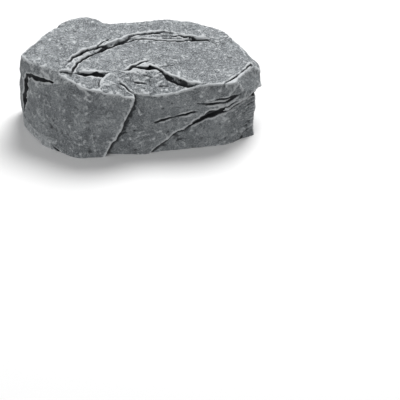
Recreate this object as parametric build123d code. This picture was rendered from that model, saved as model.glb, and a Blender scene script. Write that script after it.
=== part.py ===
from build123d import *
from math import cos, pi, radians, sin, tan
import os

# A rock-shaped key safe: a cast stone-look shell with a key compartment in its flat underside, and a
# sliding cover whose tongues run in grooves round the opening. The cover leaves through the left end
# (-X), where its outer end is a piece of the rock's own surface.
# Origin at the middle of the base, +X along the rock, -Y to the front, +Z up. Millimetres.

# --- the stone block that the rock is chipped from -------------------------------------------------
BLOCK_LENGTH = 122.0
BLOCK_DEPTH = 76.0
BLOCK_HEIGHT = 44.6

# Each chip takes a plane off the block: the way that the new face looks (azimuth from +X and lean above
# the horizon, in degrees), and how far in from the block's corner on that side the face lies.
CHIPS = {
    "front left": (-98, 0, 9.6),
    "left front": (-131, 4, 24.7),
    "left corner": (-158, 0, 16.3),
    "left end": (176, -1, 4.4),
    "back left": (130, 0, 18.3),
    "back left shoulder": (147, 22, 23.5),
    "back": (93, -1, 6.5),
    "back crown": (93, 43.5, 11.6),
    "back right": (76, 3, 18.2),
    "right back": (33, 12, 23.0),
    "right end": (-8, -2, 6.6),
    "right front": (-66, -1, 16.3),
    "right shoulder": (5, 48, 14.3),
    "right front shoulder": (-34, 24, 22.4),
    "right back shoulder": (21, 45, 20.9),
    "back right shoulder": (50, 45, 20.0),
    "crown left": (0, 88, 4.5),
    "crown right": (-22, 84, 10.2),
    "crown front left": (-135, 84.3, 5.6),
    "crown left end": (-172, 68, 6.2),
    "left brow": (-131, 35, 23.3),
}

# The back edge has two swellings that rise above the crown: centre, and how far each reaches along X, Y, Z.
SWELLINGS = {
    "left swelling": ((-26.5, 27.0, 36.8), (14.0, 9.5, 8.6)),
    "right swelling": ((16.5, 24.5, 33.4), (9.5, 9.5, 8.2)),
}

# --- the front splits in upright layers ------------------------------------------------------------
# The front-left slab ends in a ridge that leans right as it rises. Right of it the next layer shows.
RIDGE_FOOT = -21.0
RIDGE_TOP = 0.0
SECOND_LAYER = [(-97, 0, 12.0), (-86.4, 0.6, 9.5), (-67, -1, 16.2)]
# Under a line that climbs to the right, that layer has broken away too and the rock overhangs its foot.
OVERHANG_LINE = [(12.0, 10.0), (24.0, 15.2), (33.6, 19.6), (42.5, 22.5), (52.6, 23.8), (61.0, 22.5)]
FOOT_LAYER = [(-86.4, 4, 13.4), (-67, 4.4, 20.4), (-8, 3, 9.7)]
# Cracks that open in the second layer, between the ridge and the overhang.
CRACK_LINES = [
    [(2.3, 17.3), (7.4, 18.4), (16.7, 20.8), (24.6, 22.2)],
    [(22.5, 26.0), (27.0, 24.7), (38.6, 25.6), (47.0, 28.0)],
]
CRACK_WIDTH = 1.2
CRACK_DEPTH = 1.8

# --- the top splits in flat layers ---------------------------------------------------------------------
# A layer's edge in plan, and its floors: how far the floor lies under the crown at the rock's middle, how
# much it leans, in degrees, and the azimuth it falls towards. Only what is above all its floors comes off.
# Two steps lead down from the crown: a narrow ledge, then the terrace, which falls away faster to the right
# and to the front. The bay in the terrace's front edge has a floor that ramps up to its left.
LEDGE_EDGE = [
    (-47, -60),
    (-45, -30),
    (-40.9, -23.9),
    (-35.4, -13.9),
    (-30.9, -8),
    (-27, -4.7),
    (-22.6, -1.2),
    (-17.6, 0.6),
    (-14, 4),
    (-10.6, 7.6),
    (-7.4, 10.6),
    (-3.6, 13.6),
    (6.5, 15.7),
    (13.8, 17.9),
    (30, 13),
    (80, 22),
    (80, -60),
]
TERRACE_EDGE = [
    (-43, -60),
    (-41, -30),
    (-36.4, -20.7),
    (-34.1, -15.8),
    (-29.8, -8.3),
    (-26.3, -5),
    (-21.9, -2.2),
    (-17.4, 0.2),
    (-13.8, 3.6),
    (-10.5, 7.2),
    (-7.3, 9.6),
    (-2.6, 11.8),
    (12.1, 11.5),
    (21.2, 11.2),
    (28.5, 11.9),
    (35.1, 11.4),
    (40.1, 7.5),
    (80, 40),
    (80, -60),
]
BAY_EDGE = [
    (-26, -60),
    (-24.5, -28),
    (-17.5, -20.6),
    (-8.6, -18.8),
    (-1.5, -16.2),
    (2.4, -16),
    (7.9, -18.5),
    (15.3, -26.5),
    (19.5, -30.8),
    (21, -60),
]
SHELF_EDGE = [
    (-47, -60),
    (-43.4, -20.5),
    (-32.9, -19.5),
    (-17.5, -20.6),
    (-24, -27.5),
    (-25, -60),
]
TOP_LAYERS = {
    "ledge": (LEDGE_EDGE, [(3.5, 2, 0)]),
    "ledge right": (LEDGE_EDGE, [(3.9, 6, -22)]),
    "terrace": (TERRACE_EDGE, [(4.6, 1.2, 0)]),
    "terrace right": (TERRACE_EDGE, [(4.6, 4.7, -14)]),
    "terrace front": (TERRACE_EDGE, [(1.8, 11, -75)]),
    "bay": (BAY_EDGE, [(1.6, 20.3, -102.5), (2.15, 20.8, -54.5)]),
    "shelf": (SHELF_EDGE, [(5.9, 1.7, -90)]),
}

# --- cover -------------------------------------------------------------------------------------------
COVER_WIDTH = 43.0  # the face that shows between the lips
FACE_THICKNESS = 3.0
TONGUE_THICKNESS = 2.8
TONGUE_REACH = 2.2  # how far a tongue runs in over its lip
COVER_CORNER = 4.0
COVER_LIFT = 0.3  # the cover rides this far clear of the ground
SLIDE_CLEARANCE = 0.2

# A thumb recess by the cover's outer end, whose floor ramps out to the end, with a scoop worn round it.
RECESS_FROM_END = 17.5  # from the rock's left end to the recess's deep wall
RECESS_WIDTH = 26.0
RECESS_LENGTH = 14.0
RECESS_DEPTH = 3.4
RECESS_MOUTH_DEPTH = 0.8
RECESS_OFFSET = -4.0  # to the front of the cover's centre line
RECESS_CORNER = 1.5
SCOOP_LENGTH = 7.0
SCOOP_WIDTH = 34.0
SCOOP_DEPTH = 1.4

# --- key compartment ------------------------------------------------------------------------------------
END_WALL = 12.4  # from the rock's right end to the opening
MOUTH_WALL = 12.5  # from the rock's left end to the compartment
SEAT_WIDTH = 2.6  # the ledge over the tongues, round the compartment
COMPARTMENT_DEPTH = 23.0
COMPARTMENT_DRAFT = 3.0
COMPARTMENT_CORNER = 4.0
CEILING_ROUND = 2.0

# --- worked out -------------------------------------------------------------------------------------------
FAR = 2 * (BLOCK_LENGTH + BLOCK_DEPTH + BLOCK_HEIGHT)
STANDING = (Align.CENTER, Align.CENTER, Align.MIN)
LIP_THICKNESS = COVER_LIFT + FACE_THICKNESS - SLIDE_CLEARANCE
GROOVE_TOP = COVER_LIFT + FACE_THICKNESS + TONGUE_THICKNESS + SLIDE_CLEARANCE
OPENING_WIDTH = COVER_WIDTH + 2 * SLIDE_CLEARANCE


def chip(stone, azimuth, lean, bite):
    """The stone with one more plane off it, bite in from the block's corner on that side."""
    turn, tilt = radians(azimuth), radians(lean)
    normal = Vector(cos(turn) * cos(tilt), sin(turn) * cos(tilt), sin(tilt))
    corner = Vector(
        BLOCK_LENGTH / 2 if normal.X > 0 else -BLOCK_LENGTH / 2,
        BLOCK_DEPTH / 2 if normal.Y > 0 else -BLOCK_DEPTH / 2,
        BLOCK_HEIGHT if normal.Z > 0 else 0,
    )
    return split(stone, bisect_by=Plane(origin=corner - normal * bite, z_dir=normal), keep=Keep.BOTTOM)


def split_upright(stone, bites, outline):
    """The stone with the layer outside some chips off, within an outline in the front view (x, z)."""
    inner = stone
    for azimuth, lean, bite in bites:
        inner = chip(inner, azimuth, lean, bite)
    face = make_face(Polyline(*[(x, 0, z) for x, z in outline], close=True))
    region = extrude(face, FAR, dir=(0, -1, 0))
    return stone - (region & (stone - inner))


def split_flat(stone, edge, floors):
    """The stone with what stands over all the floors off, within an edge in plan."""
    layer = extrude(make_face(Polyline(*edge, close=True)), FAR)
    for drop, lean, azimuth in floors:
        slope = tan(radians(lean))
        normal = Vector(slope * cos(radians(azimuth)), slope * sin(radians(azimuth)), 1)
        floor = Plane(origin=(0, 0, BLOCK_HEIGHT - drop), z_dir=normal)
        layer = split(layer, bisect_by=floor, keep=Keep.TOP)
    return stone - layer


def swelling(centre, reach):
    """A faceted lump, which narrows in steps above and below its middle."""
    rings = []
    for height, girth in ((-0.85, 0.5), (-0.35, 0.95), (0.35, 0.95), (0.75, 0.7), (0.95, 0.35)):
        turns = [2 * pi * (k + 0.5) / 8 for k in range(8)]
        points = [(reach[0] * girth * cos(t), reach[1] * girth * sin(t)) for t in turns]
        rings.append(Pos(0, 0, reach[2] * height) * make_face(Polyline(*points, close=True)))
    return Pos(*centre) * loft(rings, ruled=True)


def solid_rock():
    """The rock without its compartment, with the middle of its base at the origin."""
    stone = Box(BLOCK_LENGTH, BLOCK_DEPTH, BLOCK_HEIGHT, align=STANDING)
    for azimuth, lean, bite in CHIPS.values():
        stone = chip(stone, azimuth, lean, bite)

    for centre, reach in SWELLINGS.values():
        stone += swelling(centre, reach)

    right_of_ridge = [(RIDGE_FOOT, 0), (RIDGE_TOP, BLOCK_HEIGHT), (FAR, BLOCK_HEIGHT), (FAR, 0)]
    stone = split_upright(stone, SECOND_LAYER, right_of_ridge)

    line_start, line_end = OVERHANG_LINE[0], OVERHANG_LINE[-1]
    under_line = OVERHANG_LINE + [(FAR, line_end[1]), (FAR, 0), (line_start[0], 0)]
    stone = split_upright(stone, FOOT_LAYER, under_line)

    crack_floor = [(azimuth, lean, bite + CRACK_DEPTH) for azimuth, lean, bite in SECOND_LAYER]
    for line in CRACK_LINES:
        crack = line + [(x, z - CRACK_WIDTH) for x, z in reversed(line[1:-1])]
        stone = split_upright(stone, crack_floor, crack)

    for edge, floors in TOP_LAYERS.values():
        stone = split_flat(stone, edge, floors)

    box = stone.bounding_box()
    return Pos(-box.center().X, -box.center().Y, 0) * stone


def sliding_bar(left, right, width, bottom, top, corner):
    """A flat bar along X that has rounded corners at its right end."""
    bar = Pos((left + right) / 2, 0, bottom) * Box(right - left, width, top - bottom, align=STANDING)
    return fillet(bar.edges().filter_by(Axis.Z).group_by(Axis.X)[-1], corner)


def shell(stone, left_end, right_end):
    """The cast rock with its compartment, the ledge round it and the grooves for the cover's tongues."""
    outside = left_end - OPENING_WIDTH
    opening_end = right_end - END_WALL
    corner = COVER_CORNER + SLIDE_CLEARANCE
    opening = sliding_bar(outside, opening_end, OPENING_WIDTH, -COVER_LIFT, GROOVE_TOP, corner)
    groove_width = OPENING_WIDTH + 2 * TONGUE_REACH
    groove = sliding_bar(outside, opening_end + TONGUE_REACH, groove_width, LIP_THICKNESS, GROOVE_TOP, corner)

    left = left_end + MOUTH_WALL
    right = opening_end - SEAT_WIDTH
    mouth = RectangleRounded(right - left, OPENING_WIDTH - 2 * SEAT_WIDTH, COMPARTMENT_CORNER)
    compartment = extrude(mouth, COMPARTMENT_DEPTH, taper=COMPARTMENT_DRAFT)
    compartment = fillet(compartment.faces().sort_by(Axis.Z)[-1].edges(), CEILING_ROUND)
    return stone - opening - groove - Pos((left + right) / 2, 0, GROOVE_TOP) * compartment


def thumb_recess(wall):
    """What the thumb recess takes out of the cover: a ramp under a steep wall, and the scoop beyond it."""
    mouth = wall - RECESS_LENGTH
    profile = Polyline(
        (wall, 0),
        (wall, COVER_LIFT + RECESS_DEPTH),
        (mouth, COVER_LIFT + RECESS_MOUTH_DEPTH),
        (mouth, 0),
        close=True,
    )
    ramp = extrude(Plane.XZ * make_face(profile), RECESS_WIDTH / 2, both=True)
    ramp = fillet(ramp.edges().filter_by(Axis.Z).group_by(Axis.X)[-1], RECESS_CORNER)

    scoop_radius = ((SCOOP_WIDTH / 2) ** 2 + SCOOP_DEPTH**2) / (2 * SCOOP_DEPTH)
    gouge = Pos(0, 0, -scoop_radius) * Cylinder(scoop_radius, 4 * SCOOP_LENGTH, rotation=(0, 90, 0))
    gouge = Pos(wall + SCOOP_LENGTH, 0, COVER_LIFT) * Plane(
        origin=(0, 0, 0), x_dir=(-SCOOP_LENGTH, 0, SCOOP_DEPTH), z_dir=(SCOOP_DEPTH, 0, SCOOP_LENGTH)
    ).location * gouge
    scoop = split(gouge, bisect_by=Plane(origin=(wall, 0, 0), z_dir=(1, 0, 0)), keep=Keep.TOP)
    return Pos(0, RECESS_OFFSET, 0) * (ramp + scoop)


def cover(stone, left_end, right_end):
    """The sliding cover. Its outer end is the piece of the rock that its blank passes through."""
    outside = left_end - COVER_WIDTH
    inner_end = right_end - END_WALL - SLIDE_CLEARANCE
    face_top = COVER_LIFT + FACE_THICKNESS
    face = sliding_bar(outside, inner_end, COVER_WIDTH, COVER_LIFT, face_top, COVER_CORNER)
    tongue_width = COVER_WIDTH + 2 * TONGUE_REACH
    tongue_top = face_top + TONGUE_THICKNESS
    tongues = sliding_bar(outside, inner_end + TONGUE_REACH, tongue_width, face_top, tongue_top, COVER_CORNER)
    return ((face + tongues) & stone) - thumb_recess(left_end + RECESS_FROM_END)


rock = solid_rock()
ends = rock.bounding_box().min.X, rock.bounding_box().max.X
os.makedirs("parts", exist_ok=True)
for name, piece in {"rock_shell": shell(rock, *ends), "slide_cover": cover(rock, *ends)}.items():
    piece.label = name
    export_step(piece, f"parts/{name}.step")
    box = piece.bounding_box()
    print(name, "volume", round(piece.volume), "from", box.min, "to", box.max, "faces", len(piece.faces()))
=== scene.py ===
"""A rock-shaped key safe: the cast rock, its sliding cover, and the paint that makes them look like slate.

The rock's form is a distance field in millimetres, worked out on a grid: planes chip a block, split layers
come off it, and cracks and grain are pressed into what is left. The field becomes a mesh, from which the
key compartment and the cover are cut with exact edges.
"""

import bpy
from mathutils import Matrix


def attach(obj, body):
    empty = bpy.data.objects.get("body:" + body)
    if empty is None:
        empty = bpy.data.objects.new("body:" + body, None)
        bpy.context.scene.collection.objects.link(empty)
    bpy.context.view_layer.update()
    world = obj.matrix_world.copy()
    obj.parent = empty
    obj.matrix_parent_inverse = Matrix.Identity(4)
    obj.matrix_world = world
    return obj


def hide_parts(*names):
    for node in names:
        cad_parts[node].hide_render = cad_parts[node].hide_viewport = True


bl_info = {
    "name": "Key Rock",
    "version": (1, 0, 0),
    "blender": (4, 5, 0),
    "location": "View3D > Sidebar > Key Rock",
    "description": "Builds a hollow cast rock that hides keys, its sliding cover and its painted finish",
    "category": "Add Mesh",
}

from functools import lru_cache
from math import cos, pi, radians, sin, tan

import bmesh
import bpy
import numpy as np
from bpy.props import FloatProperty, FloatVectorProperty, PointerProperty
from mathutils import Matrix, Vector

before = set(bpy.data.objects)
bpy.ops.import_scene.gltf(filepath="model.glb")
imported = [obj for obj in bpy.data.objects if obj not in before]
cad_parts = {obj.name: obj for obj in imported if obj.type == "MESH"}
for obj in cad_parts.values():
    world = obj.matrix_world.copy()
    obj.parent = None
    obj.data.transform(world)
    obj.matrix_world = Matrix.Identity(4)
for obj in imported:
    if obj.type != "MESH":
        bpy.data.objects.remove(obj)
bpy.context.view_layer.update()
MM = 0.001

# --- the photograph's camera --------------------------------------------------------------------------
# The picture is this many pixels square and this many millimetres wide at the rock. The middle of the
# rock's base lies at this pixel. The camera looks from this azimuth (from the front, to the left is less
# than zero) and elevation, in degrees, and is this far away, in millimetres.
PICTURE_WIDTH = 400
PICTURE_SPAN = 204.0
PER_PIXEL = PICTURE_SPAN / PICTURE_WIDTH
BASE_PIXEL = (142, 121)
VIEW_SIDE = -7.0
VIEW_HEIGHT = 30.0
VIEW_DISTANCE = 700.0

# --- the stone block and its chips, in millimetres and degrees --------------------------------------
BLOCK = np.array([122.0, 76.0, 44.6])
# The middle of the finished rock's base, as the chipped block's own frame has it.
ROCK_MIDDLE = np.array([0.667, -0.371, 0.0])

# The way that each face looks (azimuth from +X and lean above the horizon), and how far in from the
# block's corner on that side it lies.
SIDE_CHIPS = {
    "front left": (-98, 0, 9.6),
    "left front": (-131, 4, 24.7),
    "left corner": (-158, 0, 16.3),
    "left end": (176, -1, 4.4),
    "back left": (130, 0, 18.3),
    "back": (93, -1, 6.5),
    "back right": (76, 3, 18.2),
    "right back": (33, 12, 23.0),
    "right end": (-8, -2, 5.7),
    "right front": (-66, -1, 16.3),
}
CROWN_CHIPS = {
    "back left shoulder": (147, 22, 23.5),
    "back crown": (93, 43.5, 11.6),
    "right shoulder": (5, 48, 14.3),
    "right front shoulder": (-34, 24, 22.4),
    "right back shoulder": (21, 45, 20.0),
    "back right shoulder": (50, 45, 22.2),
    "crown left": (0, 88, 4.5),
    "crown right": (-22, 84, 10.2),
    "crown front left": (-135, 84.3, 5.6),
    "crown left end": (-172, 68, 6.2),
    "left brow": (-131, 35, 23.3),
}
# How far the edges between two side faces, between two crown faces and between both kinds are rounded.
SIDE_BLEND, CROWN_BLEND, RIM_BLEND = 2.4, 1.0, 0.7
# Two swellings of the back edge: centre and radii. They run into the stone over a short length.
SWELLINGS = [((-26.5, 27.0, 36.8), (14.0, 9.5, 8.6)), ((15.0, 24.5, 33.2), (8.5, 9.0, 8.0))]
SWELLING_BLEND = 2.5

# --- upright layers of the front --------------------------------------------------------------------
RIDGE = [(-21.0, 0.0), (0.0, 44.6)]
SECOND_LAYER = [(-97, 0, 12.0), (-86.4, 0.6, 9.5), (-67, -1, 16.2)]
FOOT_LAYER = [(-86.4, 4, 13.4), (-67, 4.4, 20.4), (-8, 3, 9.7)]
OVERHANG_LINE = [(12.0, 10.0), (24.0, 15.2), (33.6, 19.6), (42.5, 22.5), (52.6, 23.8), (61.0, 22.5)]

# --- flat layers of the top: edge in plan, and floors as (drop, lean, azimuth) ------------------------
STEP_TOP = [
    (-47, -60),
    (-46, -30),
    (-42.2, -23),
    (-37, -12.7),
    (-32.4, -6.6),
    (-28.4, -3),
    (-24, 0.4),
    (-17.8, 1),
    (-14, 4),
    (-10.6, 7.6),
    (-7.4, 10.6),
    (-3.6, 13.6),
    (6.5, 15.7),
    (13.8, 17.9),
]
STEP_FOOT = [
    (-43, -60),
    (-41, -30),
    (-36.4, -20.7),
    (-34.1, -15.8),
    (-29.8, -8.3),
    (-26.3, -5),
    (-21.9, -2.2),
    (-17.4, 0.2),
    (-13.8, 3.6),
    (-10.5, 7.2),
    (-7.3, 9.6),
    (-2.6, 11.8),
    (12.1, 11.5),
    (21.2, 11.2),
    (28.5, 11.9),
    (35.1, 11.4),
    (40.1, 7.5),
]
RIGHT_OUTSIDE = [(80, 40), (80, -60)]
TERRACE_FLOORS = [(4.6, 1.2, 0), (4.6, 4.7, -14), (1.8, 11, -75)]
BAY_EDGE = [
    (-26, -60),
    (-24.5, -28),
    (-17.5, -20.6),
    (-13.6, -20),
    (-8.6, -18.8),
    (-5.5, -17.2),
    (-1.5, -16.2),
    (2.4, -16),
    (6.2, -16.8),
    (7.9, -18.5),
    (11.1, -22.4),
    (15.3, -26.5),
    (19.5, -28.8),
    (26, -29.3),
    (33, -29.9),
    (36, -60),
]
BAY_FLOORS = [(1.6, 20.3, -102.5), (2.15, 20.8, -54.5), (14.85, 12.6, 180)]
SHELF_EDGE = [
    (-47, -60),
    (-43.4, -20.5),
    (-40, -19.5),
    (-32.9, -19.5),
    (-27.1, -20),
    (-19.5, -20.6),
    (-17.5, -20.6),
    (-24, -27.5),
    (-25, -60),
]
SHELF_FLOOR = (8.58, 7.5, -15)

# --- cracks: their lines, how wide and how deep they are at the middle --------------------------------
TOP_CRACKS = [
    ([(-21.9, 0), (-17.9, 5.6), (-15.2, 9.2), (-13, 10.5)], 0.6, 1.5),
    ([(16, 14.2), (22, 13.8), (28, 12.6), (33, 10.4)], 0.55, 0.9),
    ([(-8, -18.4), (-4.4, -15.9), (-0.6, -13.1), (3.2, -10.6)], 0.6, 1.3),
    ([(6.3, -17.1), (11.5, -14.4), (17.8, -12.2)], 0.5, 0.7),
    ([(36, -31), (42.2, -26), (48.9, -18), (53.2, -11.6), (56, -5)], 0.6, 1.8),
    ([(44, -27), (49, -21.5), (54, -14)], 0.5, 0.9),
    ([(-14, -26.5), (-10.5, -29), (-6.5, -32.5), (-4.5, -34.5)], 0.65, 1.4),
    ([(-6, -25.5), (-2, -24.6), (1, -25.2)], 0.5, 0.8),
    ([(3, -27.4), (8, -26), (12, -27.5)], 0.5, 0.8),
]
FRONT_CRACKS = [
    ([(2.3, 17), (7.4, 17.8), (16.7, 19.6), (24.6, 20.8)], 0.6, 1.4),
    ([(19, 12), (26, 15.2), (33.6, 18.7), (42.5, 21.6), (52.6, 23), (60, 22.4)], 1.1, 2.4),
    ([(30, 20.6), (37, 23), (45, 24.6)], 0.5, 0.9),
    ([(22.5, 26), (27, 24.7), (38.6, 25.6), (47, 28)], 0.6, 1.3),
    ([(31.9, 26.8), (37, 26.9), (44, 27.6)], 0.55, 1.2),
    ([(-46, 2), (-43, 0.5), (-40, -2)], 0.6, 1.2),
]
# Deep hollows under an edge: a line in space and the radius at its middle.
HOLLOWS = [
    ([(-33, -20.1, 38.9), (-27, -20.4, 38.3), (-22.5, -20.8, 38.2), (-17.5, -21.4, 38.8)], 1.7),
    ([(-9, -18.4, 38), (-4, -16.4, 37.6), (2.4, -15.6, 37.3), (8, -18.4, 36.9)], 1.5),
    ([(5, -16.5, 36.9), (11.1, -22.2, 36.2), (15.3, -26.4, 35.8), (23, -29.2, 36)], 0.35),
    ([(-55.6, -6.5, 35), (-57.2, -4, 27), (-58.2, -2.4, 19), (-58.8, -1, 9)], 2.4),
]
# Two more that the photograph shows, at these pixels.
SLAB_CREVICE_PIXELS = [(27, 75), (33, 77), (40, 79.6), (50, 81.8), (60, 82.8)]
SLAB_CREVICE_INSET = 0.35
SLAB_CREVICE_RADIUS = 1.25
OVERHANG_CREVICE_PIXELS = [(190, 123.5), (198, 119.8), (210, 114.8), (222, 110.2), (234, 105.6), (250, 99.4)]
OVERHANG_CREVICE_INSET = 0.9
OVERHANG_CREVICE_FORWARD = 0.3
OVERHANG_CREVICE_RADIUS = 1.95


# === Sculpting with distances: arrays on a grid, in millimetres, negative inside the stone ===


def spline_weights(places, spacing, shift):
    """For each place, the weights of a smooth cubic spline over a row of lattice values."""
    t = (places - places[0]) / spacing + shift
    low = np.floor(t).astype(int)
    f = t - low
    weights = np.zeros((len(places), low.max() + 4), np.float32)
    rows = np.arange(len(places))
    parts = ((1 - f) ** 3, 3 * f**3 - 6 * f**2 + 4, -3 * f**3 + 3 * f**2 + 3 * f + 1, f**3)
    for k, part in enumerate(parts):
        weights[rows, low + k] += part / 6
    return weights


def grain(axes, spacings, seed):
    """Smooth random values of about unit size on the grid of two or three axes."""
    random = np.random.default_rng(seed)
    weights = [spline_weights(a, s, random.random()) for a, s in zip(axes, spacings)]
    values = random.standard_normal([w.shape[1] for w in weights]).astype(np.float32)
    for w in weights:
        values = np.tensordot(values, w, (0, 1))
    return values * 1.35 ** len(axes)


def outline_distance(x, y, outline):
    """Distance to a closed outline, negative inside it."""
    nearest = np.full(x.shape, np.inf)
    inside = np.zeros(x.shape, bool)
    for (x0, y0), (x1, y1) in zip(outline, outline[1:] + outline[:1]):
        ex, ey = x1 - x0, y1 - y0
        t = np.clip(((x - x0) * ex + (y - y0) * ey) / (ex * ex + ey * ey), 0, 1)
        nearest = np.minimum(nearest, np.hypot(x - x0 - t * ex, y - y0 - t * ey))
        crosses = (y0 <= y) != (y1 <= y)
        if ey:
            inside ^= crosses & (x < x0 + (y - y0) * ex / ey)
    return np.where(inside, -nearest, nearest).astype(np.float32)


def crack_depth(x, y, line, width, depth):
    """How deep an open crack is at each place. It narrows to nothing at both ends."""
    lengths = [np.hypot(b[0] - a[0], b[1] - a[1]) for a, b in zip(line, line[1:])]
    nearest = np.full(x.shape, np.inf)
    along = np.zeros(x.shape)
    start = 0.0
    for (a, b), length in zip(zip(line, line[1:]), lengths):
        ex, ey = b[0] - a[0], b[1] - a[1]
        t = np.clip(((x - a[0]) * ex + (y - a[1]) * ey) / length**2, 0, 1)
        distance = np.hypot(x - a[0] - t * ex, y - a[1] - t * ey)
        along = np.where(distance < nearest, start + t * length, along)
        nearest = np.minimum(nearest, distance)
        start += length
    taper = np.clip(np.minimum(along, start - along) / (0.3 * start), 0, 1) ** 0.6
    return (depth * taper * np.clip(1.2 - nearest / width, 0, 1)).astype(np.float32)


def edge_crack(distance, x, start, end, width, depth):
    """How deep a crack is that follows the foot of a layer's edge between two places along x."""
    fade = np.clip(np.minimum(x - start, end - x) / 6, 0, 1)
    return (depth * fade * np.clip(1.2 - np.abs(distance + 0.35) / width, 0, 1)).astype(np.float32)


def flaked(values, step):
    """The values in flat steps with steep sides, like thin flakes lying over each other."""
    level = np.floor(values / step)
    return (step * (level + np.clip((values / step - level) * 4 - 3, 0, 1))).astype(np.float32)


def hollow_out(stone, axes, line, radius):
    """Takes a winding hollow out of the stone, round a line in space. It narrows towards its ends."""
    line = np.array(line, float)
    low, high = line.min(0) - 2 * radius, line.max(0) + 2 * radius
    spans = [slice(*np.searchsorted(a, (l, h))) for a, l, h in zip(axes, low, high)]
    X, Y, Z = np.ix_(*[a[span] for a, span in zip(axes, spans)])
    lengths = np.linalg.norm(np.diff(line, axis=0), axis=1)
    nearest = np.full(np.broadcast_shapes(X.shape, Y.shape, Z.shape), np.inf)
    along = np.zeros(nearest.shape)
    start = 0.0
    for a, b, length in zip(line, line[1:], lengths):
        edge = b - a
        t = ((X - a[0]) * edge[0] + (Y - a[1]) * edge[1] + (Z - a[2]) * edge[2]) / length**2
        t = np.clip(t, 0, 1)
        distance = np.sqrt(sum((p - q - t * e) ** 2 for p, q, e in zip((X, Y, Z), a, edge)))
        along = np.where(distance < nearest, start + t * length, along)
        nearest = np.minimum(nearest, distance)
        start += length
    taper = np.clip(np.minimum(along, start - along) / (0.35 * start), 0, 1) ** 0.7
    part = stone[tuple(spans)]
    ragged = 0.65 * grain([a[span] for a, span in zip(axes, spans)], (1.9, 1.9, 1.2), round(start))
    np.maximum(part, (radius * taper - nearest + ragged * taper).astype(np.float32), out=part)


def blend_max(a, b, radius):
    """The larger of two distances, with the edge between them rounded over a radius."""
    h = np.clip(0.5 + 0.5 * (a - b) / radius, 0, 1)
    return a * h + b * (1 - h) + radius * h * (1 - h)


def chip_plane(azimuth, lean, bite):
    """A chip's direction and how far out its plane lies, which is bite in from the block's corner."""
    turn, tilt = radians(azimuth), radians(lean)
    normal = np.array([cos(turn) * cos(tilt), sin(turn) * cos(tilt), sin(tilt)])
    corner = np.where(normal > 0, BLOCK / 2, -BLOCK / 2)
    corner[2] = BLOCK[2] if normal[2] > 0 else 0
    return normal, normal @ corner - bite


def chip_distance(x, y, z, azimuth, lean, bite):
    """Distance outside a chip's plane."""
    normal, reach = chip_plane(azimuth, lean, bite)
    return (normal[0] * x + normal[1] * y + normal[2] * z - reach).astype(np.float32)


def view_axes():
    """The directions towards the photograph's camera, to the picture's right and up in it."""
    side, height = radians(VIEW_SIDE), radians(VIEW_HEIGHT)
    back = Vector((sin(side) * cos(height), -cos(side) * cos(height), sin(height)))
    right = Vector((cos(side), sin(side), 0))
    return back, right, back.cross(right)


def seen_line(pixels, chips, inset, forward=0.0):
    """Where the photograph shows these pixels on the faces of some chips, to a tenth of a millimetre.

    The places lie inset behind the faces along the view, and then forward of there.
    """
    back, right, up = (np.array(axis) for axis in view_axes())
    eye = back * VIEW_DISTANCE
    line = []
    for px, py in pixels:
        spot = ((px - BASE_PIXEL[0]) * right + (BASE_PIXEL[1] - py) * up) * PER_PIXEL
        ray = (spot - eye) / np.linalg.norm(spot - eye)
        start = eye + ROCK_MIDDLE
        faces = [chip_plane(*chip) for chip in chips]
        met = [(reach - normal @ start) / (normal @ ray) for normal, reach in faces if normal @ ray < 0]
        place = np.round(start + ray * (max(met) + inset), 1)
        line.append(place - (0, forward, 0))
    return np.round(line, 1)


def all_hollows():
    """Every deep hollow: its line and its radius."""
    slab_chips = [SIDE_CHIPS[name] for name in ("left front", "left corner", "front left")]
    slab = seen_line(SLAB_CREVICE_PIXELS, [*slab_chips, CROWN_CHIPS["left brow"]], SLAB_CREVICE_INSET)
    overhang = seen_line(
        OVERHANG_CREVICE_PIXELS, SECOND_LAYER, OVERHANG_CREVICE_INSET, OVERHANG_CREVICE_FORWARD
    )
    return [*HOLLOWS, (slab, SLAB_CREVICE_RADIUS), (overhang, OVERHANG_CREVICE_RADIUS)]


def floor_height(x, y, drop, lean, azimuth):
    """The height of a layer's leaning floor. drop is how far it lies under the crown at the middle."""
    slope = tan(radians(lean))
    turn = radians(azimuth)
    return BLOCK[2] - drop - slope * (cos(turn) * x + sin(turn) * y)


def take_off(stone, *sides):
    """The stone without the space where every one of the given distances is negative."""
    space = sides[0]
    for side in sides[1:]:
        space = np.maximum(space, side)
    return np.maximum(stone, -space)


def tile_edge(rows):
    """How far a row of tiles is pressed in: more and more along it, up to its edge, then none."""
    part = rows % 1
    return np.minimum(part, (1 - part) * 4)


def face_relief(xs, zs, qx, qz):
    """Relief of the front and of the back: thin layers that lie over each other like tiles, rising right."""
    upright = (xs, zs)
    bedding = qz - 0.28 * (qx - 24)
    right_of_ridge = np.clip((qx - RIDGE[0][0] - (RIDGE[1][0] - RIDGE[0][0]) * qz / BLOCK[2]) / 3, 0, 1)
    tiles = bedding / 2.6 + 0.9 * grain(upright, (19, 7), 71)
    towards_right = np.clip((xs[:, None] - 12) / 30, 0, 1)
    strength = np.clip(0.10 + 0.25 * grain(upright, (15, 6), 72) + 0.4 * towards_right, 0, 0.8)
    front = strength * tile_edge(tiles) * right_of_ridge + 0.35 * grain(upright, (15, 9), 74) - 0.2
    tiles = bedding / 5.5 + 0.8 * grain(upright, (24, 9), 73)
    strength = np.clip(0.25 + 0.35 * grain(upright, (17, 7), 75), 0, 0.7)
    back = strength * tile_edge(tiles) + 0.3 * grain(upright, (6, 4), 76) - 0.2
    return front, back


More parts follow.
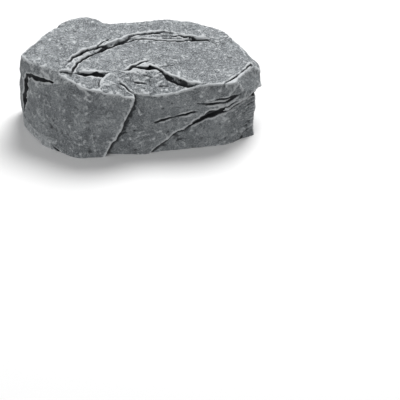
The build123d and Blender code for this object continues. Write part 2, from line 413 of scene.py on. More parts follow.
def chipped_block(X, Y, Z, relief):
    """The block with its chips taken off and its two swellings added."""
    side = None
    for chip in SIDE_CHIPS.values():
        distance = chip_distance(X, Y, Z, *chip)
        side = distance if side is None else blend_max(side, distance, SIDE_BLEND)
    crown = None
    for chip in CROWN_CHIPS.values():
        distance = chip_distance(X, Y, Z, *chip)
        crown = distance if crown is None else blend_max(crown, distance, CROWN_BLEND)
    stone = blend_max(side + relief, crown, RIM_BLEND)
    for centre, radii in SWELLINGS:
        away = np.sqrt(sum(((a - c) / r) ** 2 for a, c, r in zip((X, Y, Z), centre, radii)))
        stone = -blend_max(-stone, -(away - 1) * min(radii), SWELLING_BLEND)
    return np.maximum(stone, chip_distance(X, Y, Z, *SIDE_CHIPS["back left"]) - 1.0)


def split_front(stone, X, Y, Z, qx, qz, relief):
    """The stone without the front's layers right of the ridge and under the overhang."""
    (foot_x, _), (top_x, top_z) = RIDGE
    lean = (top_x - foot_x) / top_z
    left_of_ridge = ((foot_x + lean * qz - qx) / np.hypot(1, lean))[:, None, :]
    second = np.maximum.reduce([chip_distance(X, Y, Z, *chip) for chip in SECOND_LAYER]) + relief
    stone = take_off(stone, left_of_ridge, -second)
    below_line = outline_distance(qx, qz, OVERHANG_LINE + [(90, 22.5), (90, -20), (-20, -20)])[:, None, :]
    foot = np.maximum.reduce([chip_distance(X, Y, Z, *chip) for chip in FOOT_LAYER]) + relief
    return take_off(stone, below_line, -foot)


def split_top(stone, plan, px, py, Z):
    """The stone without the top's layers, and the edge of each layer and the lowest floor for the cracks."""
    plan_x = plan[0][:, None]
    ledge = np.minimum(floor_height(px, py, 2.4, 2, 0), floor_height(px, py, 2.8, 6, -22))
    ledge = ledge + 1.1 * np.clip((plan_x - 12) / 14, 0, 1)
    terrace = np.minimum.reduce([floor_height(px, py, *floor) for floor in TERRACE_FLOORS])
    terrace = terrace + 0.10 * grain(plan, (16, 5), 85)
    bay = np.maximum.reduce([floor_height(px, py, *floor) for floor in BAY_FLOORS])
    bay = bay + flaked(0.45 * grain(plan, (9, 5), 81) + 0.12 * grain(plan, (3, 2), 82), 0.40)
    step_top = outline_distance(px, py, STEP_TOP + [(30, 13), (80, 22), (80, -60)])
    step_foot = outline_distance(px, py, STEP_FOOT + RIGHT_OUTSIDE)
    bay_edge = outline_distance(px, py, BAY_EDGE)
    shelf_edge = outline_distance(px, py, SHELF_EDGE)
    layers = [(step_top, ledge - 1.1)]
    for share, drop, seed in ((0.4, 1.5, 83), (0.75, 2.0, 84)):
        edge = (1 - share) * step_top + share * step_foot + 0.35 * grain(plan, (2.4, 2.4), seed)
        layers.append((edge, ledge - drop))
    layers += [(step_foot, terrace), (bay_edge, bay), (shelf_edge, floor_height(px, py, *SHELF_FLOOR))]
    for edge, floor in layers:
        stone = take_off(stone, edge[:, :, None], (floor[:, :, None] - Z).astype(np.float32))
    lowest = np.where(bay_edge < 0.5, np.minimum(bay, terrace), terrace) - 2.5
    return stone, (step_top, step_foot, bay_edge), lowest


def top_cracks(plan, px, py, edges):
    """How deep the cracks of the top are. Some follow the layers' edges."""
    plan_x = plan[0][:, None]
    step_top, step_foot, bay_edge = edges
    broken = np.clip(0.85 + 0.45 * grain(plan, (4, 4), 86), 0.3, 1.3)
    depth = broken * sum(crack_depth(px, py, *crack) for crack in TOP_CRACKS)
    depth = depth + broken * edge_crack(step_top, plan_x, -41, 14, 0.5, 1.1)
    depth = depth + broken * edge_crack(step_foot, plan_x, -38, 38, 0.55, 1.5)
    return depth + broken * edge_crack(bay_edge, plan_x, -12, 22, 0.55, 1.5)


def stone_field(xs, ys, zs, roughness):
    """The rock's distance field on a grid, and the same field without its cracks and hollows.

    roughness scales the grain that is pressed into the faces.
    """
    X, Y, Z = np.ix_(xs, ys, zs)
    plan, upright = (xs, ys), (xs, zs)
    wander = [0.25 * grain(plan, (4.5, 4.5), s) for s in (32, 42)]
    ragged = [0.27 * grain(plan, (1.7, 1.7), s) for s in (35, 45)]
    px, py = xs[:, None] + wander[0] + ragged[0], ys[None, :] + wander[1] + ragged[1]
    shake = [0.3 * grain(upright, (7, 7), s) + 0.25 * grain(upright, (2.2, 2.2), s + 1) for s in (51, 61)]
    qx, qz = xs[:, None] + shake[0], zs[None, :] + shake[1]

    front, back = face_relief(xs, zs, qx, qz)
    facing_front = np.clip(0.5 - Y / 10, 0, 1)
    relief = front[:, None, :] * facing_front + back[:, None, :] * (1 - facing_front)
    stone = split_front(chipped_block(X, Y, Z, relief), X, Y, Z, qx, qz, relief)
    stone, edges, lowest = split_top(stone, plan, px, py, Z)

    coarse = 0.50 * grain((xs, ys, zs), (14, 14, 14), 21) + 0.16 * grain((xs, ys, zs), (5, 5, 5), 22)
    fine = 0.14 * grain((xs, ys, zs), (2.3, 2.3, 2.0), 23) + 0.09 * grain((xs, ys, zs), (1.1, 1.1, 1.1), 24)
    stone = (stone + roughness * (coarse + fine)).astype(np.float32)

    whole = stone.copy()
    cracks = top_cracks(plan, px, py, edges)
    stone = stone + cracks[:, :, None] * np.clip(Z - lowest[:, :, None], 0, 1)
    cracks = sum(crack_depth(qx, qz, *crack) for crack in FRONT_CRACKS)
    cracks = cracks * np.clip(0.85 + 0.45 * grain(upright, (4, 4), 87), 0.3, 1.3)
    stone = (stone + cracks[:, None, :] * facing_front).astype(np.float32)
    for line, radius in all_hollows():
        hollow_out(stone, (xs, ys, zs), line, radius)
    return stone, whole


# === From fields and outlines to meshes ===

# A cut that leaves a piece with fewer faces than this has failed.
FEWEST_FACES = 100


def skin(field, axes):
    """The corners, in millimetres, and the four-sided faces of the surface where a field is zero."""
    inside = field < 0
    mixed = np.zeros([n - 1 for n in field.shape], bool)
    first = inside[:-1, :-1, :-1]
    for i, j, k in np.ndindex(2, 2, 2):
        nx, ny, nz = mixed.shape
        mixed |= inside[i : nx + i, j : ny + j, k : nz + k] != first
    cells = np.argwhere(mixed)
    number = np.full(mixed.shape, -1)
    number[mixed] = np.arange(len(cells))

    total, count = np.zeros((len(cells), 3)), np.zeros(len(cells))
    for axis in range(3):
        for i, j in np.ndindex(2, 2):
            start = cells.copy()
            start[:, (axis + 1) % 3] += i
            start[:, (axis + 2) % 3] += j
            end = start.copy()
            end[:, axis] += 1
            a, b = field[tuple(start.T)], field[tuple(end.T)]
            cut = (a < 0) != (b < 0)
            point = start[cut].astype(float)
            point[:, axis] += a[cut] / (a[cut] - b[cut])
            total[cut] += point
            count[cut] += 1
    points = total / count[:, None]

    faces = []
    for axis in range(3):
        low = np.take(inside, range(field.shape[axis] - 1), axis)
        high = np.take(inside, range(1, field.shape[axis]), axis)
        at = np.argwhere(low != high)
        u, v = (axis + 1) % 3, (axis + 2) % 3
        ring = []
        for i, j in ((1, 1), (0, 1), (0, 0), (1, 0)):
            cell = at.copy()
            cell[:, u] -= i
            cell[:, v] -= j
            ring.append(number[tuple(cell.T)])
        ring = np.stack(ring, 1)
        outward = low[tuple(at.T)]
        faces.append(np.where(outward[:, None], ring, ring[:, ::-1]))
    steps = np.array([a[1] - a[0] for a in axes])
    return points * steps + [a[0] for a in axes], np.concatenate(faces)


def values_at(field, axes, points):
    """The field's values at points, worked out between its samples."""
    values = np.zeros(len(points))
    places = [(points[:, k] - axes[k][0]) / (axes[k][1] - axes[k][0]) for k in range(3)]
    places = [np.clip(p, 0, n - 1.001) for p, n in zip(places, field.shape)]
    low = [p.astype(int) for p in places]
    part = [p - l for p, l in zip(places, low)]
    for corner in np.ndindex(2, 2, 2):
        weight = np.prod([p if c else 1 - p for p, c in zip(part, corner)], axis=0)
        values += weight * field[tuple(l + c for l, c in zip(low, corner))]
    return values


def blurred(field, cells):
    """The field averaged over a cube that reaches so many cells each way."""
    for axis in range(3):
        padded = np.pad(field, [(cells + 1, cells) if a == axis else (0, 0) for a in range(3)], "edge")
        running = np.cumsum(padded, axis, dtype=np.float64)
        n = field.shape[axis]
        high = np.take(running, range(2 * cells + 1, n + 2 * cells + 1), axis)
        field = ((high - np.take(running, range(n), axis)) / (2 * cells + 1)).astype(np.float32)
    return field


@lru_cache
def raw_stone(spacing, roughness):
    """The whole rock, reaching below ground: its axes, two fields, and its skin's corners and faces."""
    axes = [np.arange(-h, h + spacing, spacing) for h in (63.0, 40.0)]
    axes.append(np.arange(-6.0, 48.0, spacing))
    field, whole = stone_field(*axes, roughness)
    field[:, :, 0] = np.maximum(field[:, :, 0], 0.5)
    for face in (field[0], field[-1], field[:, 0], field[:, -1], field[:, :, -1]):
        np.maximum(face, 0.5, out=face)
    points, faces = skin(field, axes)
    return axes, field, whole, points, faces


def new_object(name, points, faces):
    """An object with its mesh in metres, in the shared frame."""
    mesh = bpy.data.meshes.new(name)
    mesh.from_pydata(np.asarray(points).tolist(), [], [list(f) for f in faces])
    mesh.validate()
    obj = bpy.data.objects.new(name, mesh)
    bpy.context.scene.collection.objects.link(obj)
    return obj


def stone_object(name, settings):
    """The whole rock as an object."""
    *_, points, faces = raw_stone(fineness(settings), settings.roughness)
    return new_object(name, (points - ROCK_MIDDLE) * MM, faces.tolist())


def fineness(settings):
    """The spacing of the grid in millimetres."""
    return settings.spacing


def rounded(left, right, width, corner, steps=6):
    """A rounded rectangle from above, anticlockwise."""
    half = width / 2
    points = []
    for middle_x, middle_y, first in (
        (left + corner, half - corner, 90),
        (left + corner, -half + corner, 180),
        (right - corner, -half + corner, 270),
        (right - corner, half - corner, 0),
    ):
        for k in range(steps + 1):
            turn = radians(first + 90 * k / steps)
            points.append((middle_x + corner * cos(turn), middle_y + corner * sin(turn)))
    return points


def stacked(name, rings):
    """A closed solid through outlines with equal numbers of points: a list of (outline, height), in mm."""
    count = len(rings[0][0])
    points = [(x * MM, y * MM, z * MM) for outline, z in rings for x, y in outline]
    faces = [list(range(count))[::-1], list(range((len(rings) - 1) * count, len(rings) * count))]
    for r in range(len(rings) - 1):
        for k in range(count):
            n = (k + 1) % count
            a, b = r * count, (r + 1) * count
            faces.append([a + k, a + n, b + n, b + k])
    return new_object(name, points, faces)


def gridded(obj, places_x, places_y):
    """The object with its faces cut along upright planes, so that marks change step by step."""
    shape = bmesh.new()
    shape.from_mesh(obj.data)
    for direction, places in ((Vector((1, 0, 0)), places_x), (Vector((0, 1, 0)), places_y)):
        for place in places:
            everything = [*shape.verts, *shape.edges, *shape.faces]
            spot = direction * float(place) * MM
            bmesh.ops.bisect_plane(shape, geom=everything, plane_co=spot, plane_no=direction)
    shape.to_mesh(obj.data)
    shape.free()
    return obj


def combine(obj, other, operation):
    """obj cut by other, or kept only inside it. other is used up."""
    modifier = obj.modifiers.new("cut", "BOOLEAN")
    modifier.operation = operation
    modifier.solver = "MANIFOLD"
    modifier.object = other
    bpy.context.view_layer.update()
    result = bpy.data.meshes.new_from_object(obj.evaluated_get(bpy.context.evaluated_depsgraph_get()))
    count = len(result.polygons)
    if count == len(obj.data.polygons) or count < FEWEST_FACES:
        raise RuntimeError(f"{obj.name}: the cut with {other.name} failed ({count} faces)")
    obj.modifiers.clear()
    old = obj.data
    obj.data = result
    bpy.data.meshes.remove(old)
    spent = other.data
    bpy.data.objects.remove(other)
    bpy.data.meshes.remove(spent)


def paint_and_shade_marks(obj, settings):
    """Keeps marks at each corner of the mesh for the paint and for painted shade.

    sunk lies in a crack or hollow, whose near-black is partly a dark wash and partly painted shade; shelter
    lies under other stone and carries painted shade; crest and relief stand out over a short and a long
    distance, and relief's hollows also carry painted shade; cast was moulded smooth; and upward faces the
    sky, where the grain carries painted light and shade.
    """
    axes, field, whole, _, _ = raw_stone(fineness(settings), settings.roughness)
    spacing = axes[0][1] - axes[0][0]
    points = np.zeros(len(obj.data.vertices) * 3)
    obj.data.vertices.foreach_get("co", points)
    points = points.reshape(-1, 3) / MM + ROCK_MIDDLE
    depth = values_at(field, axes, points)
    near = values_at(blurred(field, max(1, round(0.5 / spacing))), axes, points)
    wide = values_at(blurred(field, max(2, round(2.6 / spacing))), axes, points)
    outward = np.zeros(len(points) * 3, np.float32)
    obj.data.vertex_normals.foreach_get("vector", outward)
    outward = outward.reshape(-1, 3)
    # Painted shade under ledges: how much stone lies in a box above and outward of each corner.
    aside = points + 2.0 * outward + np.array([0, 0, 2.2])
    stone_there = blurred((field < 0).astype(np.float32), round(2.0 / spacing))
    marks = {
        # sunk: near-black paint in cracks and hollows, partly a dark wash and partly painted shade.
        "sunk": np.clip((depth - values_at(whole, axes, points)) / 1.2, 0, 1),
        "shelter": np.clip(values_at(stone_there, axes, aside) * 2.4 - 0.30, 0, 1),
        "crest": np.clip((near - depth) / 0.20, -1, 1),
        # relief: besides the dry brush on broad rises, its broad hollows get painted shade, much like
        # ambient occlusion.
        "relief": np.clip((wide - depth) / 0.9, -1, 1),
        "cast": np.clip((-depth - 0.25) / 0.5, 0, 1),
        "upward": np.clip(outward[:, 2], 0, 1),
    }
    for name, values in marks.items():
        obj.data.attributes.new(name, "FLOAT", "POINT").data.foreach_set("value", values.astype(np.float32))


def soften(obj, angle):
    """Smooth shading that keeps edges sharper than an angle, with flat faces kept flat."""
    obj.data.shade_smooth()
    obj.data.set_sharp_from_angle(angle=radians(angle))


# === The pieces ===

# The rock's ends, and the cover and the hollows that go with it, in the shared frame, in millimetres.
LEFT_END, RIGHT_END = -60.33, 60.33
COVER_WIDTH = 43.0
FACE_THICKNESS = 3.0
TONGUE_THICKNESS = 2.8
TONGUE_REACH = 2.2
COVER_CORNER = 4.0
COVER_LIFT = 0.3
CLEARANCE = 0.2
END_WALL = 12.4
MOUTH_WALL = 12.5
SEAT_WIDTH = 2.6
COMPARTMENT_DEPTH = 23.0
COMPARTMENT_DRAFT = 3.0
COMPARTMENT_CORNER = 4.0
CEILING_ROUND = 2.0
OUTSIDE = -80.0
# The flat faces are cut into pieces this long, at these places across.
STRIP_LENGTH = 1.5
STRIPS = np.arange(-21.0, 22, 3)

FACE_TOP = COVER_LIFT + FACE_THICKNESS
TONGUE_TOP = FACE_TOP + TONGUE_THICKNESS
LIP_TOP = FACE_TOP - CLEARANCE
GROOVE_TOP = TONGUE_TOP + CLEARANCE
OPENING_END = RIGHT_END - END_WALL

RECESS_WALL = LEFT_END + 17.5
RECESS_LENGTH = 14.0
RECESS_WIDTH = 26.0
RECESS_DEPTH = 3.4
RECESS_MOUTH_DEPTH = 0.8
RECESS_OFFSET = -4.0
SCOOP_LENGTH = 7.0
SCOOP_WIDTH = 34.0
SCOOP_DEPTH = 1.4


def hollow_cutter():
    """What comes out of the rock from below: the opening, the grooves and the key compartment."""
    width = COVER_WIDTH + 2 * CLEARANCE
    corner = COVER_CORNER + CLEARANCE

    def opening(grow):
        return rounded(OUTSIDE, OPENING_END + grow, width + 2 * grow, corner + grow)

    def groove(grow):
        reach = TONGUE_REACH + grow
        return rounded(OUTSIDE, OPENING_END + reach, width + 2 * reach, corner + grow)

    def pocket(shrink, lift):
        left, right = LEFT_END + MOUTH_WALL, OPENING_END - SEAT_WIDTH
        inset = shrink + lift * tan(radians(COMPARTMENT_DRAFT))
        size = width - 2 * SEAT_WIDTH - 2 * inset
        return rounded(left + inset, right - inset, size, max(COMPARTMENT_CORNER - inset, 1.0))

    rings = [(opening(0.7), -2), (opening(0.7), 0), (opening(0.3), 0.12), (opening(0.08), 0.4)]
    rings.append((opening(0), 0.8))
    rings += [(opening(0), LIP_TOP - 0.2), (opening(0.2), LIP_TOP), (groove(0), LIP_TOP)]
    rings += [(groove(0), GROOVE_TOP - 0.3), (groove(-0.3), GROOVE_TOP)]
    rings += [(pocket(-0.35, 0), GROOVE_TOP), (pocket(0, 0.35), GROOVE_TOP + 0.35)]
    for k in range(6):
        turn = pi / 2 * k / 5
        rise = COMPARTMENT_DEPTH - CEILING_ROUND * (1 - sin(turn))
        rings.append((pocket(CEILING_ROUND * (1 - cos(turn)), rise), GROOVE_TOP + rise))
    mouth = np.arange(LEFT_END, LEFT_END + MOUTH_WALL, STRIP_LENGTH)
    return gridded(stacked("hollow", rings), mouth, STRIPS)


def build_shell(settings):
    """The hollow rock."""
    shell = stone_object("rock", settings)
    slab = stacked("ground", [(rounded(-90, 90, 120, 1), -20), (rounded(-90, 90, 120, 1), 0)])
    combine(shell, slab, "DIFFERENCE")
    combine(shell, hollow_cutter(), "DIFFERENCE")
    paint_and_shade_marks(shell, settings)
    soften(shell, 52)
    shell.data.materials.clear()
    shell.data.materials.append(painted_slate(settings))
    return shell


def worn_face(x, y):
    """How much is worn or cut off the cover's face at each place, in millimetres."""
    streaks = 0.05 * grain((x, y), (38, 1.1), 91) + 0.05 * grain((x, y), (16, 0.6), 92) + 0.03
    streaks = streaks + 0.06 * grain((x, y), (50, 3.2), 93)
    X, Y = x[:, None] + 0 * y, y[None, :] + 0 * x[:, None]
    across = Y - RECESS_OFFSET
    cut = np.clip(streaks, 0, 0.3)

    # The thumb recess: a steep wall, from whose foot a ramp runs out to the end.
    wobble = 0.35 * grain((x, y), (7, 5), 94)
    inside = np.minimum(RECESS_WALL - X + 0.5 * wobble, RECESS_WIDTH / 2 - np.abs(across) + wobble)
    run = np.clip((RECESS_WALL - X) / RECESS_LENGTH, 0, 1)
    ramp = RECESS_DEPTH + (RECESS_MOUTH_DEPTH - RECESS_DEPTH) * run
    recess = ramp * np.clip(inside / 0.55, 0, 1)

    # A shallow scoop round the wall, which fades away from it, with a second stroke in its middle.
    reach = (X - RECESS_WALL) / SCOOP_LENGTH
    scoop = SCOOP_DEPTH * (1 - reach) - 2.1 * (2 * across / SCOOP_WIDTH) ** 2
    stroke = 0.9 - 0.13 * np.abs(X - RECESS_WALL - 3.2) - 0.011 * (across + 3) ** 2
    scoop = np.where(X > RECESS_WALL - 0.6, np.maximum(scoop, stroke), 0)
    return np.maximum.reduce([cut, recess, np.clip(scoop, 0, 9) + cut * 0.3])


def face_cutter():
    """What comes off the cover's face: a slab under it whose top is the worn face."""
    step = 0.5
    x, y = np.arange(LEFT_END - 4, OPENING_END + 2, step), np.arange(-24, 24 + step, step)
    top = COVER_LIFT + worn_face(x, y) - 0.01
    nx, ny = len(x), len(y)
    X, Y = np.meshgrid(x, y, indexing="ij")
    upper = np.stack([X, Y, top], -1).reshape(-1, 3)
    lower = np.stack([X, Y, np.full_like(X, -3.0)], -1).reshape(-1, 3)
    at = np.arange(nx * ny).reshape(nx, ny)
    a, b, c, d = (p.ravel() for p in (at[:-1, :-1], at[1:, :-1], at[1:, 1:], at[:-1, 1:]))
    faces = [np.stack([a, b, c, d], 1), np.stack([d, c, b, a], 1) + nx * ny]
    border = np.concatenate([at[:-1, 0], at[-1, :-1], at[:0:-1, -1], at[0, :0:-1]])
    after = np.roll(border, -1)
    faces.append(np.stack([border, border + nx * ny, after + nx * ny, after], 1))
    return new_object("wear", np.concatenate([upper, lower]) * MM, np.concatenate(faces).tolist())


def build_cover(settings):
    """The sliding cover. Its outer end is a piece of the rock."""
    inner_end = OPENING_END - CLEARANCE

    def face(grow):
        return rounded(OUTSIDE, inner_end + grow, COVER_WIDTH + 2 * grow, COVER_CORNER)

    def tongues(grow):
        reach = TONGUE_REACH + grow
        return rounded(OUTSIDE, inner_end + reach, COVER_WIDTH + 2 * reach, COVER_CORNER)

    rings = [(face(-0.55), COVER_LIFT), (face(-0.18), COVER_LIFT + 0.15), (face(0), COVER_LIFT + 0.55)]
    rings += [(face(0), FACE_TOP), (tongues(-0.3), FACE_TOP), (tongues(0), FACE_TOP + 0.3)]
    rings += [(tongues(0), TONGUE_TOP - 0.4), (tongues(-0.4), TONGUE_TOP)]
    cover = gridded(stacked("cover", rings), np.arange(LEFT_END, inner_end, STRIP_LENGTH), STRIPS)
    combine(cover, stone_object("end", settings), "INTERSECT")
    combine(cover, face_cutter(), "DIFFERENCE")
    paint_and_shade_marks(cover, settings)
    soften(cover, 38)
    cover.data.materials.clear()
    cover.data.materials.append(cast_cover(settings))
    return cover


# === Finishes ===


class Value:
    """A number that varies over a material. Arithmetic on it adds Math nodes."""

    def __init__(self, finish, socket):
        self.finish = finish
        self.socket = socket

    def math(self, operation, *others):
        values = [self, *others]
        return self.finish.node("ShaderNodeMath", {"operation": operation}, dict(enumerate(values)))

    def swapped(self, operation, other):
        return self.finish.node("ShaderNodeMath", {"operation": operation}, {0: other, 1: self})

    def __add__(self, other):
        return self.math("ADD", other)

    def __radd__(self, other):
        return self.math("ADD", other)

    def __sub__(self, other):
        return self.math("SUBTRACT", other)

    def __rsub__(self, other):
        return self.swapped("SUBTRACT", other)

    def __mul__(self, other):
        return self.math("MULTIPLY", other)

    def __rmul__(self, other):
        return self.math("MULTIPLY", other)

    def __pow__(self, other):
        return self.math("POWER", other)

    def between(self, low, high):
        """0 where the value is under low and 1 where it is over high, with a smooth rise between them."""
        settings = {"interpolation_type": "SMOOTHSTEP"}
        sockets = {"Value": self, "From Min": low, "From Max": high}
        return self.finish.node("ShaderNodeMapRange", settings, sockets)

    def clamped(self):
        return self.finish.node("ShaderNodeClamp", {}, {"Value": self})


class Finish:
    """The nodes of a material or a world under construction."""

    def __init__(self, owner):
        self.owner = owner
        owner.use_nodes = True
        self.tree = owner.node_tree
        self.tree.nodes.clear()

    def node(self, kind, settings, sockets, output=0):
        """A new node of a kind. Its settings come first, then its sockets' values or links."""
        node = self.tree.nodes.new(kind)
        for name, value in settings.items():
            setattr(node, name, value)
        known = {socket.identifier: socket for socket in node.inputs}
        for name, value in sockets.items():
            socket = known[name] if name in known else node.inputs[name]
            if isinstance(value, Value):
                self.tree.links.new(value.socket, socket)
            else:
                socket.default_value = value
        results = {socket.identifier: socket for socket in node.outputs}
        if not node.outputs:
            return None
        return Value(self, results[output] if output in results else node.outputs[output])

    def mark(self, name):
        """One of the marks that paint_and_shade_marks keeps on the mesh."""
        settings = {"attribute_name": name, "attribute_type": "GEOMETRY"}
        return self.node("ShaderNodeAttribute", settings, {}, "Fac")

    def noise(self, size, detail=3.0, roughness=0.55, stretch=(1, 1, 1), distortion=0.0):
        """Cloudy values round 0.5, with features of a size in millimetres, stretched along each axis."""
        scale = [1 / (size * MM * s) for s in stretch]
        place = self.node("ShaderNodeTexCoord", {}, {}, "Object")
        place = self.node("ShaderNodeVectorMath", {"operation": "MULTIPLY"}, {0: place, 1: scale})
        sockets = {"Vector": place, "Scale": 1.0, "Detail": detail, "Roughness": roughness}
        sockets["Distortion"] = distortion
        return self.node("ShaderNodeTexNoise", {}, sockets, 0)

    def mix(self, factor, first, second):
        """A colour between two, or from the first to the second as the factor goes from 0 to 1."""
        sockets = {"Factor_Float": factor, "A_Color": colour(first), "B_Color": colour(second)}
        return self.node("ShaderNodeMix", {"data_type": "RGBA"}, sockets, "Result_Color")

    def bump(self, height, distance, strength=1.0, under=None):
        sockets = {"Height": height, "Distance": distance * MM, "Strength": strength}
        if under is not None:
            sockets["Normal"] = under
        return self.node("ShaderNodeBump", {}, sockets)

    def finished(self, **sockets):
        """The material, with a Principled shader that takes these values or links."""
        named = {name.replace("_", " "): value for name, value in sockets.items()}
        shader = self.node("ShaderNodeBsdfPrincipled", {}, named)
        self.node("ShaderNodeOutputMaterial", {}, {"Surface": shader})
        return self.owner


def colour(value):
    """A colour that a node takes: a Value as it is, or three numbers with an opaque alpha."""
    return value if isinstance(value, Value) else (*value, 1.0)


def painted_slate(settings):
    """The rock's paint: grey slate with a fine speckle and dry-brushed edges. Cracks, hollows and the stone
    under ledges are near-black, partly a dark wash and partly painted shade, and the grain on upward faces
    carries painted light and shade.
    """
    f = Finish(bpy.data.materials.new("painted slate"))
    crest, relief, shelter = (f.mark(name) for name in ("crest", "relief", "shelter"))
    sunk, cast, upward = (f.mark(name) for name in ("sunk", "cast", "upward"))
    speckle = f.noise(0.55, 2, 0.6)
    fleck = f.noise(1.7, 4, 0.75)
    mottle = f.noise(8, 4, 0.6)
    patch = f.noise(26, 3)

    tone = (mottle * 0.5 + patch * 0.5).between(0.38, 0.62)
    stone = f.mix(tone, settings.shade, settings.body)
    # Pale grains, stronger on upward faces: partly real speckle, partly painted light on the lit grain of
    # the top.
    light_grains = (speckle * 0.7 + fleck * 0.3).between(0.53, 0.60)
    stone = f.mix(light_grains * (0.30 + 0.32 * upward), stone, settings.dust)
    wrinkle = f.noise(2.6, 5, 0.72, distortion=0.6)
    wrinkles = (((wrinkle - 0.5) * (wrinkle - 0.5)) ** 0.5).between(0.020, 0.003)
    stone = f.mix(wrinkles * mottle.between(0.35, 0.6) * 0.70, stone, settings.dust)
    # Dark grains, stronger on upward faces: partly real speckle, partly painted shade in the grain of the
    # top.
    dark_grains = (speckle * 0.65 + fleck * 0.35).between(0.47, 0.39)
    stone = f.mix(dark_grains * (0.42 + 0.40 * upward), stone, settings.wash_and_shade)

    brushed = (crest + 1.6 * (fleck - 0.5) + 0.34 * relief).between(0.17, 0.54)
    stone = f.mix(brushed * 0.82, stone, settings.dust)
    # Near-black in narrow crevices, in broad hollows and under overhanging stone: partly a dark wash, partly
    # painted shade like ambient occlusion and the shadow under ledges.
    cracks = (0 - crest * 0.9 - relief * 0.55 + shelter * 0.75 + 0.4 * (mottle - 0.5)).between(0.14, 0.60)
    stone = f.mix(cracks * 0.85, stone, settings.wash_and_shade)
    # Cracks and hollows painted almost black: partly a dark wash, partly their painted shadow.
    stone = f.mix((sunk + 0.3 * (fleck - 0.5)).between(0.12, 0.50) * 0.98, stone, settings.wash_and_shade)

    streaks = f.noise(2.2, 4, 0.6, stretch=(5, 1, 3))
    inner = f.mix((streaks * 0.6 + mottle * 0.4).between(0.3, 0.7), settings.cast_dark, settings.cast_light)
    surface = f.mix(cast, stone, inner)
    rough = (0.86 - 0.18 * cast - 0.10 * brushed).clamped()
    height = (speckle * 0.5 + fleck * 0.9 + mottle * 0.6) * (1 - 0.85 * cast)
    normal = f.bump(height, 0.42)
    return f.finished(Base_Color=surface, Roughness=rough, Normal=normal)


def cast_cover(settings):
    """The cover's finish: bare cast stone, brushed lengthwise, with a chipped and painted outer end."""
    f = Finish(bpy.data.materials.new("brushed cast stone"))
    crest, cast = f.mark("crest"), f.mark("cast")
    long_streaks = f.noise(1.3, 4, 0.65, stretch=(34, 1, 2))
    fine_streaks = f.noise(0.45, 3, 0.6, stretch=(40, 1, 2))
    cloud = f.noise(12, 3, stretch=(1.6, 1, 1))
    fleck = f.noise(1.1, 3, 0.7)

    tone = (long_streaks * 0.55 + fine_streaks * 0.25 + cloud * 0.3).between(0.36, 0.72)
    face = f.mix(tone, settings.cover_dark, settings.cover_light)
    scratches = (long_streaks * 0.4 + fine_streaks * 0.6).between(0.62, 0.72)
    face = f.mix(scratches * 0.5, face, settings.dust)
    end = f.mix((fleck + 0.4 * crest).between(0.35, 0.75), settings.body, settings.dust)
    surface = f.mix(cast, end, face)
    rough = 0.62 + 0.2 * fleck
    height = (long_streaks * 0.6 + fine_streaks * 0.5) * cast + fleck * (1 - cast) * 1.5
    return f.finished(Base_Color=surface, Roughness=rough, Normal=f.bump(height, 0.3))


def studio_floor():
    """White floor that keeps the shadow. Other light passes it, so it also reaches the object from below."""
    f = Finish(bpy.data.materials.new("studio floor"))
    ways = [f.node("ShaderNodeLightPath", {}, {}, way) for way in ("Is Camera Ray", "Is Glossy Ray")]
    seen = (ways[0] + ways[1]).clamped()
    below = f.node("ShaderNodeNewGeometry", {}, {}, "Backfacing")
    floor = f.node("ShaderNodeBsdfDiffuse", {}, {"Color": (0.93, 0.93, 0.93, 1)})
    clear = f.node("ShaderNodeBsdfTransparent", {}, {"Color": (1, 1, 1, 1)})
    both = f.node("ShaderNodeMixShader", {}, {0: seen * (1 - below), 1: clear, 2: floor})
    f.node("ShaderNodeOutputMaterial", {}, {"Surface": both})
    return f.owner


def studio_world(sky):
    """Even light from all round, in front of a plain backdrop."""
    f = Finish(bpy.data.worlds.new("studio"))
    seen = f.node("ShaderNodeLightPath", {}, {}, "Is Camera Ray")
    light = f.node("ShaderNodeBackground", {}, {"Strength": sky})
    backdrop = f.node("ShaderNodeBackground", {}, {})
    both = f.node("ShaderNodeMixShader", {}, {0: seen, 1: light, 2: backdrop})
    f.node("ShaderNodeOutputWorld", {}, {"Surface": both})
    return f.owner


# === Studio ===

# Metres. Each lamp has a place and a diameter, and points at the rock.
FLOOR_REACH = 4.0
LAMP_TARGET = (0, 0, 0.02)
LAMPS = {
    "key": ((0.27, 0.44, 0.95), 0.62),
    "fill": ((-0.75, -0.85, 0.75), 0.9),
    "under": ((-0.05, -0.3, -1.0), 0.9),
}


def build_camera():
    """The photograph's camera."""
    back, right, up = view_axes()
    middle = PICTURE_WIDTH / 2
    target = (right * (middle - BASE_PIXEL[0]) - up * (middle - BASE_PIXEL[1])) * PER_PIXEL
    data = bpy.data.cameras.new("camera")
    data.lens = data.sensor_width * VIEW_DISTANCE / PICTURE_SPAN
    data.clip_start = 0.01
    camera = bpy.data.objects.new("camera", data)
    bpy.context.scene.collection.objects.link(camera)
    turn = (-back).rotation_difference(target - back * VIEW_DISTANCE)
    facing = turn.to_matrix() @ Matrix((right, up, back)).transposed()
    camera.matrix_world = Matrix.Translation(back * VIEW_DISTANCE * MM) @ facing.to_4x4()
    bpy.context.scene.camera = camera


def add_lamp(name, where, size, power):
    """A round area lamp that points at the rock."""
    data = bpy.data.lights.new(name, "AREA")
    data.shape = "DISK"
    data.size = size
    data.energy = power
    lamp = bpy.data.objects.new(name, data)
    bpy.context.scene.collection.objects.link(lamp)
    lamp.location = where
    lamp.rotation_euler = (Vector(LAMP_TARGET) - Vector(where)).to_track_quat("-Z", "Y").to_euler()


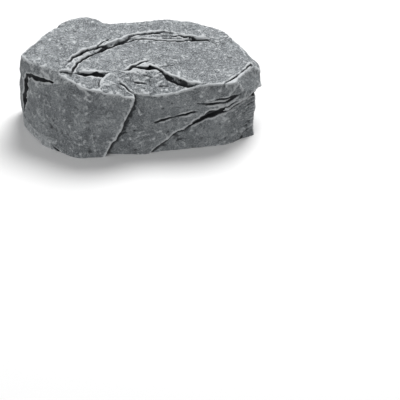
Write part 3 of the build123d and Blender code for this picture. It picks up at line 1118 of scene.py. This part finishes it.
def build_studio(studio):
    """The floor, the lamps, the world and the camera."""
    corners = [(x * FLOOR_REACH, y * FLOOR_REACH, 0) for x, y in ((-1, -1), (1, -1), (1, 1), (-1, 1))]
    floor = new_object("floor", corners, [(0, 1, 2, 3)])
    floor.data.materials.append(studio_floor())

    for name, (where, size) in LAMPS.items():
        add_lamp(name, where, size, getattr(studio, f"{name}_power"))
    bpy.context.scene.world = studio_world(studio.sky)
    bpy.context.scene.view_settings.view_transform = "Standard"
    build_camera()


# === The add-on ===


def paint_colour(name, description, default):
    return FloatVectorProperty(
        name=name, description=description, default=default, subtype="COLOR", size=3, min=0, max=1
    )


def lamp_power(name, description, default):
    return FloatProperty(name=name, description=description, default=default, min=0, unit="POWER")


class KeyRockSettings(bpy.types.PropertyGroup):
    """Sizes and colours of the rock and its cover."""

    spacing: FloatProperty(
        name="Grid spacing",
        description="Spacing of the grid that the stone's form is worked out on, in millimetres",
        default=0.53,
        min=0.4,
        max=2.0,
    )
    roughness: FloatProperty(
        name="Grain",
        description="How strongly grain is pressed into the stone's faces",
        default=1.0,
        min=0.0,
        max=2.0,
        subtype="FACTOR",
    )
    body: paint_colour("Slate", "Main grey of the painted stone", (0.245, 0.264, 0.277))
    shade: paint_colour("Shade", "Darker grey that mottles it", (0.152, 0.165, 0.176))
    dust: paint_colour("Dry brush", "Pale grey on edges and grains", (0.640, 0.665, 0.680))
    # Near-black for a dark wash in the cracks and for painted shade in hollows and under ledges.
    wash_and_shade: paint_colour("Wash", "Nearly black grey in the cracks", (0.014, 0.016, 0.019))
    cast_light: paint_colour("Cast light", "Lighter grey of bare faces", (0.330, 0.360, 0.385))
    cast_dark: paint_colour("Cast dark", "Darker grey of bare faces", (0.235, 0.262, 0.285))
    cover_light: paint_colour("Cover light", "Lighter streaks of the cover", (0.400, 0.405, 0.420))
    cover_dark: paint_colour("Cover dark", "Darker streaks of the cover", (0.215, 0.222, 0.238))


class KeyRockStudio(bpy.types.PropertyGroup):
    """Light for a picture of the rock."""

    key_power: lamp_power("Key lamp", "Power above and behind", 11.7)
    fill_power: lamp_power("Fill lamp", "Power in front", 3.5)
    under_power: lamp_power("Under lamp", "Power below the floor", 3.0)
    sky: FloatProperty(name="Sky", description="Strength of the light from all round", default=0.40, min=0)


class KEYROCK_OT_shell(bpy.types.Operator):
    """Make the hollow rock"""

    bl_idname = "keyrock.shell"
    bl_label = "Rock"

    def execute(self, context):
        shell = build_shell(context.scene.key_rock)
        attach(shell, "rock")
        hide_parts("rock_shell")
        return {"FINISHED"}


class KEYROCK_OT_cover(bpy.types.Operator):
    """Make the sliding cover"""

    bl_idname = "keyrock.cover"
    bl_label = "Cover"

    def execute(self, context):
        cover = build_cover(context.scene.key_rock)
        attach(cover, "cover")
        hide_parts("slide_cover")
        return {"FINISHED"}


class KEYROCK_OT_studio(bpy.types.Operator):
    """Set up the floor, the lamps and the camera"""

    bl_idname = "keyrock.studio"
    bl_label = "Studio"

    def execute(self, context):
        build_studio(context.scene.key_rock_studio)
        return {"FINISHED"}


class KEYROCK_PT_panel(bpy.types.Panel):
    """The rock's pieces and settings"""

    bl_label = "Key Rock"
    bl_space_type = "VIEW_3D"
    bl_region_type = "UI"
    bl_category = "Key Rock"

    def draw(self, context):
        for operator in OPERATORS:
            self.layout.operator(operator.bl_idname)
        for group in (context.scene.key_rock, context.scene.key_rock_studio):
            column = self.layout.column()
            for name in group.bl_rna.properties.keys():
                if name not in ("rna_type", "name"):
                    column.prop(group, name)


OPERATORS = (KEYROCK_OT_shell, KEYROCK_OT_cover, KEYROCK_OT_studio)
CLASSES = (KeyRockSettings, KeyRockStudio, *OPERATORS, KEYROCK_PT_panel)


def register():
    for cls in CLASSES:
        bpy.utils.register_class(cls)
    bpy.types.Scene.key_rock = PointerProperty(type=KeyRockSettings)
    bpy.types.Scene.key_rock_studio = PointerProperty(type=KeyRockStudio)


def unregister():
    del bpy.types.Scene.key_rock_studio
    del bpy.types.Scene.key_rock
    for cls in reversed(CLASSES):
        bpy.utils.unregister_class(cls)


def main():
    register()
    bpy.ops.keyrock.shell()
    bpy.ops.keyrock.cover()
    bpy.ops.keyrock.studio()


if __name__ == "__main__":
    main()
